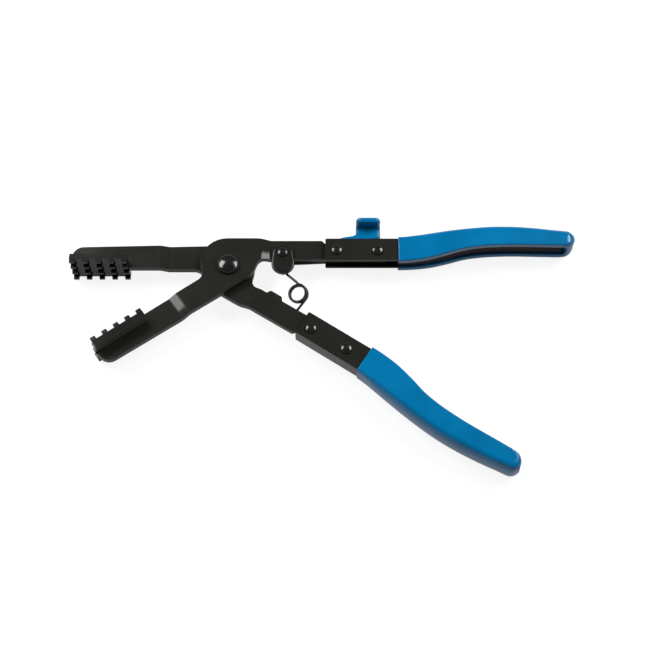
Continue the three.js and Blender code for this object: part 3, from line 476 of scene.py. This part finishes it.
def grip(side, place, channel_end, shift, lean, opening, belly):
    """A dipped coat: U-shaped sections carried along the handle's curve, closed by a rounded end.

    Half of a section runs from the middle of the back as a superellipse, z = h sin(a)^(2/p) and
    v = back - b (1 - cos(a)^(2/p)), then straight down the wall, round its lip, up inside it and
    back through the coat. Past the channel's pocket the inner half is blended into a flat underside.
    Lengths along the handle are a column, so each line below gives one height or width per section.
    """
    end = channel_end + PAST_END
    run = end - GRIP_START
    tail = 9
    u = GRIP_START + np.concatenate([
        [0, 0.04, 0.14, 0.3, 0.5],
        np.linspace(1.2, run - tail, 52),
        run - tail * np.cos(np.linspace(0, math.pi / 2, 22))[1:],
    ])[:, None]
    past = u - GRIP_START
    near_start = 1 - smooth(past / 16)
    line = shift + lean * past
    rounding = np.clip(FIRST_EDGE - past, 0, FIRST_EDGE)
    edge = FIRST_EDGE - np.sqrt(np.maximum(FIRST_EDGE ** 2 - rounding ** 2, 0))
    swell = SWELL * smooth(past / 14) * (1 - smooth((u - end + 24) / 16))
    coat_back = line + BACK_HEIGHT + climb(u, channel_end, BACK_RISE, BACK_SHARES)
    back = coat_back + swell - edge - arc(u, end, *BACK_ARC)
    low = line + opening + climb(u, channel_end, belly, BELLY_SHARES) - 1.0 + edge + arc(u, end, *OPEN_ARC)
    wall = WALL + WIDENING * smooth(past / WIDENING_LENGTH)
    half = wall - edge - arc(u, end, *WALL_ARC)
    deep = back - low
    bulge = 2 / (3.0 + 2.2 * near_start)
    drop = np.minimum(5 - 2.6 * near_start, 0.5 * deep)
    lip = np.minimum(0.8 + 1.8 * smooth((u - end + 10) / 8), 0.4 * deep)

    a = np.linspace(0, math.pi / 2, 16)
    spine = np.stack([half * np.sin(a) ** bulge, back - drop * (1 - np.cos(a) ** bulge)], -1)
    t = np.linspace(0, 1, 7)[1:-1]
    face = np.stack([np.broadcast_to(half, (len(u), len(t))), (back - drop) * (1 - t) + (low + lip) * t], -1)
    a = np.linspace(0, math.pi / 2, 8)
    rim = np.stack([half - lip * (1 - np.cos(a)), low + lip * (1 - np.sin(a))], -1)
    ceiling = coat_back - 0.7
    shoulder = coat_back - np.minimum(2.6, 0.4 * deep)
    fold = np.stack([wall - POCKET_IN, np.concatenate([low + POCKET_UP, shoulder, ceiling], 1)], -1)
    middle = np.stack([(wall - POCKET_IN[-1]) * np.array([0.5, 0.0]), np.repeat(ceiling, 2, 1)], -1)
    inner = np.concatenate([fold, middle], 1)
    count = inner.shape[1]
    under = np.stack([rim[:, -1:, 0] * np.linspace(1, 0, count + 1)[1:], np.repeat(low, count, 1)], -1)
    closing = smooth((u - end + 9) / 4.5)[..., None]
    inner = inner * (1 - closing) + under * closing

    near = np.concatenate([spine, face, rim, inner], 1)
    far = near[:, -2:0:-1] * [-1, 1]
    ring = np.concatenate([near, far], 1)
    along, out = place(1, 0), place(0, 1)
    rings = np.concatenate([u[..., None] * along + ring[..., 1:] * out, ring[..., :1]], -1)
    if along[0] * out[1] - along[1] * out[0] < 0:
        rings = rings[:, ::-1]
    return settle(skin(side + "_grip_coat", rings), side + "_grip")


grip("upper", upper, channel_end=204.4, shift=0.3, lean=0.0, opening=2.3, belly=10.2)
grip("lower", lower, channel_end=206.3, shift=0.2, lean=0.021, opening=1.6, belly=10.6)

# The lever's coat: its thickness, the mean radius of its bend, the heights of its foot and its top,
# the level of its blade, the reach of its tip, and where it ends towards the grip
COAT_THICK, COAT_BEND = 3.6, 4.2
COAT_FOOT, COAT_TOP = 17.7, 29.4
COAT_LEVEL, COAT_TIP = -2.8, 7.0
COAT_RIGHT = 90.2
# Its flank towards the jaws: heights, and how far along the handle the coat starts at each
FLANK_HEIGHTS = [COAT_FOOT, 20.4, 21.1, 21.7, 22.4, 23.7, 25.5]
FLANK_PLACES = [62.6, 64.2, 67.2, 72.4, 74.4, 75.3, 75.6]
# Its foot: how steeply it climbs towards the grip, from where, and the height at which that has gone
FOOT_SLOPE, FOOT_CORNER, FOOT_GONE = 0.13, 61.8, 25


def lever_coat():
    """The thumb lever's coat: flat oval sections carried up its blade, round the bend and out along its pad.

    A section is a stadium, straight between two half circles; its ends follow the lever's outline, and
    at the pad's tip the width draws in as a corner does and the thickness as a half circle does. The
    coat's foot climbs towards the grip, which leaves the lever room to dip into its channel.
    """
    reach = COAT_THICK / 2
    rise = np.concatenate([np.linspace(COAT_FOOT, 20.8, 6), np.linspace(21.2, 24.4, 14),
                           np.linspace(24.7, COAT_TOP - COAT_BEND, 3)])
    turn = np.linspace(0, math.pi / 2, 12)[1:]
    bent = COAT_LEVEL + COAT_BEND
    out = bent + (COAT_TIP - bent) * np.sin(np.linspace(0, math.pi / 2, 20))[1:]
    path = np.vstack([
        np.stack([rise, np.full(len(rise), COAT_LEVEL)], -1),
        np.stack([COAT_TOP - COAT_BEND * (1 - np.sin(turn)),
                  COAT_LEVEL + COAT_BEND * (1 - np.cos(turn))], -1),
        np.stack([np.full(len(out), COAT_TOP), out], -1)])
    square = np.vstack([
        np.repeat([[0.0, 1.0]], len(rise), 0),
        np.stack([-np.sin(turn), np.cos(turn)], -1),
        np.repeat([[-1.0, 0.0]], len(out), 0)])
    height, level = path[:, :1], path[:, 1:]
    corner = arc(level, COAT_TIP, 3.4, 3.2) * (height > COAT_TOP - 0.01)
    left = np.interp(height, FLANK_HEIGHTS, FLANK_PLACES) + corner
    right = COAT_RIGHT - corner
    half = reach * np.sqrt(np.maximum(1 - np.clip((level - COAT_TIP + reach) / reach, 0, 1) ** 2, 1e-4))
    a = np.linspace(-math.pi / 2, math.pi / 2, 11)
    across = np.concatenate([right - half * (1 - np.cos(a)), left + half * (1 - np.cos(a))], 1)
    depth = half * np.concatenate([np.sin(a), -np.sin(a)])
    climbs = (FOOT_SLOPE * (across - FOOT_CORNER)
              * np.clip((FOOT_GONE - height) / (FOOT_GONE - COAT_FOOT), 0, 1))
    rings = np.stack([across, height + climbs + square[:, :1] * depth, level + square[:, 1:] * depth], -1)
    return settle(skin("lever_coat", rings[:, ::-1]), "lever_sleeve")


lever_coat()

# Rivets and pins
SMALL_HEAD = (0.95, 0.42)
pivot_seat = 2 * ARM_HALF + SEAT / 2 + SEAT
channel_seat = CHANNEL_HALF + SEAT
rivet("pivot_rivet", (0, 0), shank=4.0, radius=6.3, low=-pivot_seat, high=pivot_seat,
      low_head=(0.8, 1.2), high_head=(2.3, 0.95))
for side, place in (("upper", upper), ("lower", lower)):
    for where, along in zip(("front", "rear"), RIVETS_ALONG):
        rivet(f"{side}_{where}_rivet", place(along, RIVET_LINE), shank=1.6, radius=3.25,
              low=-channel_seat, high=channel_seat, low_head=SMALL_HEAD, high_head=SMALL_HEAD)
rivet("catch_pin", (32, 7.9), shank=1.8, radius=3.0, low=-ARM_HALF - LEVER_SHEET - 2 * SEAT,
      high=ARM_HALF + CATCH_DEPTH + 2 * SEAT, low_head=(0.6, 0.4), high_head=(0.75, 0.35))

# Opening spring: its wire, its coil, the leg to the catch's lip, and the leg to the anchor
WIRE = 1.5
COIL_RADIUS = 5.15
COIL_LEAN = (math.radians(13), math.radians(-15))
COIL_CENTRE = (41.3, -16.8)
COIL_PITCH = 1.97
COIL_TURNS = 2
FIRST_TURN = math.radians(84)
LEG_RUN = np.array(heading(133.8))
LEG_END = np.array([33.7, -3.8])
LIP_HEIGHT = ARM_HALF + SEAT - 1.4
LEG_BEND = lower(48.5, 6.9)
ANCHOR = lower(42.6, 11.3)
ANCHOR_RADIUS = 1.5
LEG_HEIGHT = -ARM_HALF - SEAT - WIRE / 2


def unit(way):
    """A level direction of length 1."""
    return way / np.hypot(*way)


def leaned(coil):
    """The coil tipped about its own middle, a little towards the jaws' side and over to its right."""
    middle = np.array([*COIL_CENTRE, coil[:, 2].mean()])
    tip, side = COIL_LEAN
    about_x = np.array([[1, 0, 0], [0, math.cos(tip), -math.sin(tip)], [0, math.sin(tip), math.cos(tip)]])
    about_y = np.array([[math.cos(side), 0, math.sin(side)], [0, 1, 0], [-math.sin(side), 0, math.cos(side)]])
    return (coil - middle) @ (about_y @ about_x).T + middle


def spring_line():
    """Middle of the wire: a straight leg from the catch's lip, a helix that sinks as it turns, and a leg
    that runs straight to a bend on the lower arm and hooks half round the anchor."""
    to_bend = LEG_BEND - COIL_CENTRE
    last_turn = math.atan2(to_bend[1], to_bend[0]) + math.acos(COIL_RADIUS / np.hypot(*to_bend))
    sweep = FIRST_TURN - last_turn + 2 * math.pi * COIL_TURNS
    top = LEG_HEIGHT + COIL_PITCH * sweep / (2 * math.pi)
    t = np.linspace(0, 1, 110)
    turn = FIRST_TURN - sweep * t
    coil = leaned(np.stack([
        COIL_CENTRE[0] + COIL_RADIUS * np.cos(turn),
        COIL_CENTRE[1] + COIL_RADIUS * np.sin(turn),
        top + (LEG_HEIGHT - top) * t], -1))
    tangent = np.array([math.sin(FIRST_TURN), -math.cos(FIRST_TURN)])
    length = np.linalg.solve(np.stack([-LEG_RUN, -tangent], 1), coil[0, :2] - LEG_END)[0]
    along = np.array([0, WIRE, length - WIRE])
    leg = np.column_stack([LEG_END - LEG_RUN * along[:, None], [LIP_HEIGHT, LIP_HEIGHT, coil[0, 2]]])
    wrap = ANCHOR_RADIUS + SEAT + WIRE / 2
    back = LEG_BEND - ANCHOR
    start = math.atan2(back[1], back[0]) - math.acos(wrap / np.hypot(*back))
    turn = start - np.linspace(0, math.pi, 14)
    hook = ANCHOR + wrap * np.stack([np.cos(turn), np.sin(turn)], -1)
    hook = np.vstack([hook, hook[-1] + unit(hook[-1] - hook[-2]) * WIRE])
    knees = [LEG_BEND + unit(end - LEG_BEND) * WIRE for end in (coil[-1, :2], hook[0])]
    tail = np.vstack([knees, hook])
    return np.vstack([leg, coil, np.column_stack([tail, np.full(len(tail), LEG_HEIGHT)])])


def evened(line, step, rounds=3):
    """The line with its corners cut a few times, and then equal steps along it."""
    for _ in range(rounds):
        low, high = line[:-1], line[1:]
        cut = np.empty((2 * len(low), 3))
        cut[0::2] = 0.75 * low + 0.25 * high
        cut[1::2] = 0.25 * low + 0.75 * high
        line = np.vstack([line[:1], cut, line[-1:]])
    along = np.concatenate([[0], np.cumsum(np.linalg.norm(np.diff(line, axis=0), axis=1))])
    at = np.linspace(0, along[-1], int(along[-1] / step) + 1)
    return np.stack([np.interp(at, along, line[:, axis]) for axis in range(3)], -1)


def tube(name, line, radius, sides=20):
    """A round wire along a line: rings square to it, drawn in to a rounded tip at each end."""
    tangent = np.gradient(line, axis=0)
    tangent /= np.linalg.norm(tangent, axis=1)[:, None]
    side = np.cross(tangent, [0, 0, 1.0])
    side /= np.linalg.norm(side, axis=1)[:, None]
    over = np.cross(side, tangent)
    t = np.linspace(0, math.pi / 2, 6)[:-1]
    tips = radius * (1 - np.cos(t)) * 0.6
    grow = np.maximum(np.sin(t), 0.02) * radius
    first = line[0] + tangent[0] * tips[:, None]
    last = (line[-1] - tangent[-1] * tips[:, None])[::-1]

    def with_tips(ways):
        """Directions along the line, with the first and the last held over the tips."""
        return np.vstack([np.repeat(ways[:1], len(t), 0), ways[1:-1], np.repeat(ways[-1:], len(t), 0)])

    middle = np.vstack([first, line[1:-1], last])
    width = np.concatenate([grow, np.full(len(line) - 2, radius), grow[::-1]])
    turn = np.linspace(0, 2 * math.pi, sides, endpoint=False)[:, None]
    spokes = with_tips(side)[:, None] * np.cos(turn) + with_tips(over)[:, None] * np.sin(turn)
    rings = middle[:, None] + width[:, None, None] * spokes
    return skin(name, rings[:, ::-1])


spring = tube("opening_spring_wire", evened(spring_line(), 0.35), WIRE / 2)
spring.data.materials.append(SPRING_BLACK)
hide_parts("opening_spring")
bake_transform(spring)

# The solids that stay in view: the spacers and the spring's anchor
for node, thing in frame["nodes"].items():
    if not thing.hide_render:
        thing.data.materials.clear()
        thing.data.materials.append(FINISH_OF_SLOT[SLOT_OF_NODE[node]])

# Floor and room
FLOOR_REACH, FLOOR_HEIGHT = 4.0, -0.0003


def white_floor():
    """A pale floor that keeps the pliers' shadow; what looks straight at it or mirrors it sees it white."""
    finish = Finish(bpy.data.materials.new("floor_white"))
    matt = finish.node("BsdfDiffuse", {}, {"Color": grey(0.2)}, "BSDF")
    straight, mirrored, through = (finish.node("LightPath", output=f"Is {ray} Ray")
                                   for ray in ("Camera", "Glossy", "Transmission"))
    seen = finish.node("Math", {"operation": "MAXIMUM"}, {0: straight, 1: mirrored * 0.7})
    seen = finish.node("Math", {"operation": "MAXIMUM"}, {0: seen, 1: through})
    glow = finish.node("Emission", {}, {"Color": grey(1.0), "Strength": seen * 0.88}, "Emission")
    return finish.surface(finish.node("AddShader", {}, {0: matt, 1: glow}, "Shader"))


floor_mesh = bpy.data.meshes.new("floor")
floor_mesh.from_pydata([(x * FLOOR_REACH, y * FLOOR_REACH, FLOOR_HEIGHT)
                        for x, y in ((-1, -1), (1, -1), (1, 1), (-1, 1))], [], [(0, 1, 2, 3)])
floor = bpy.data.objects.new("floor", floor_mesh)
bpy.context.scene.collection.objects.link(floor)
floor.data.materials.append(white_floor())

# A dark room with a bright band low on the wall behind the pliers, and a fainter one before them
world = bpy.data.worlds.new("room")
bpy.context.scene.world = world
room = Finish(world)
direction = room.node("TexCoord", output="Generated")
height = room.node("SeparateXYZ", {}, {"Vector": direction}, "Z")
depth = room.node("SeparateXYZ", {}, {"Vector": direction}, "Y")
behind = room.ramp(depth * 0.5 + 0.5, 0.32, 0.6)
band_behind = (1 - room.ramp(height, 0.04, 0.34)) * behind
band_before = (1 - room.ramp(height, 0.2, 0.62)) * (1 - behind)
walls = room.mix(band_behind, grey(0.035), grey(0.75))
walls = room.mix(band_before, walls, grey(0.42))
room.surface(room.node("Background", {}, {"Color": walls, "Strength": 1.0}, "Background"), "OutputWorld")

# Lamps: one softbox on each side, behind the pliers and aimed at the middle of the floor
BOX_LIFT = 46
BOX_DISTANCE = 1.25
BOX_SIZE = (0.74, 0.46)
BOX_RADIANCE = 9.8


def softbox(name, bearing):
    """A rectangular lamp at a bearing, lifted and turned towards the middle of the floor."""
    data = bpy.data.lights.new(name, "AREA")
    data.shape = "RECTANGLE"
    data.size, data.size_y = BOX_SIZE
    data.energy = BOX_RADIANCE * math.pi * BOX_SIZE[0] * BOX_SIZE[1]
    lamp = bpy.data.objects.new(name, data)
    bpy.context.scene.collection.objects.link(lamp)
    out, up = heading(BOX_LIFT)
    lamp.location = [BOX_DISTANCE * out * c for c in heading(bearing)] + [BOX_DISTANCE * up]
    lamp.rotation_euler = (math.radians(90 - BOX_LIFT), 0, math.radians(bearing + 90))
    return lamp


softbox("left_box", 148)
softbox("right_box", 30)

# Camera, at the photograph's angle
camera_data = bpy.data.cameras.new("camera")
camera_data.sensor_width = 36
camera_data.lens = 83.63
camera = bpy.data.objects.new("camera", camera_data)
camera.location = (0.0007, -0.379887, 0.79645)
camera.rotation_euler = (math.radians(26.5), 0, 0)
bpy.context.scene.collection.objects.link(camera)
bpy.context.scene.camera = camera
bpy.context.scene.view_settings.view_transform = "Standard"
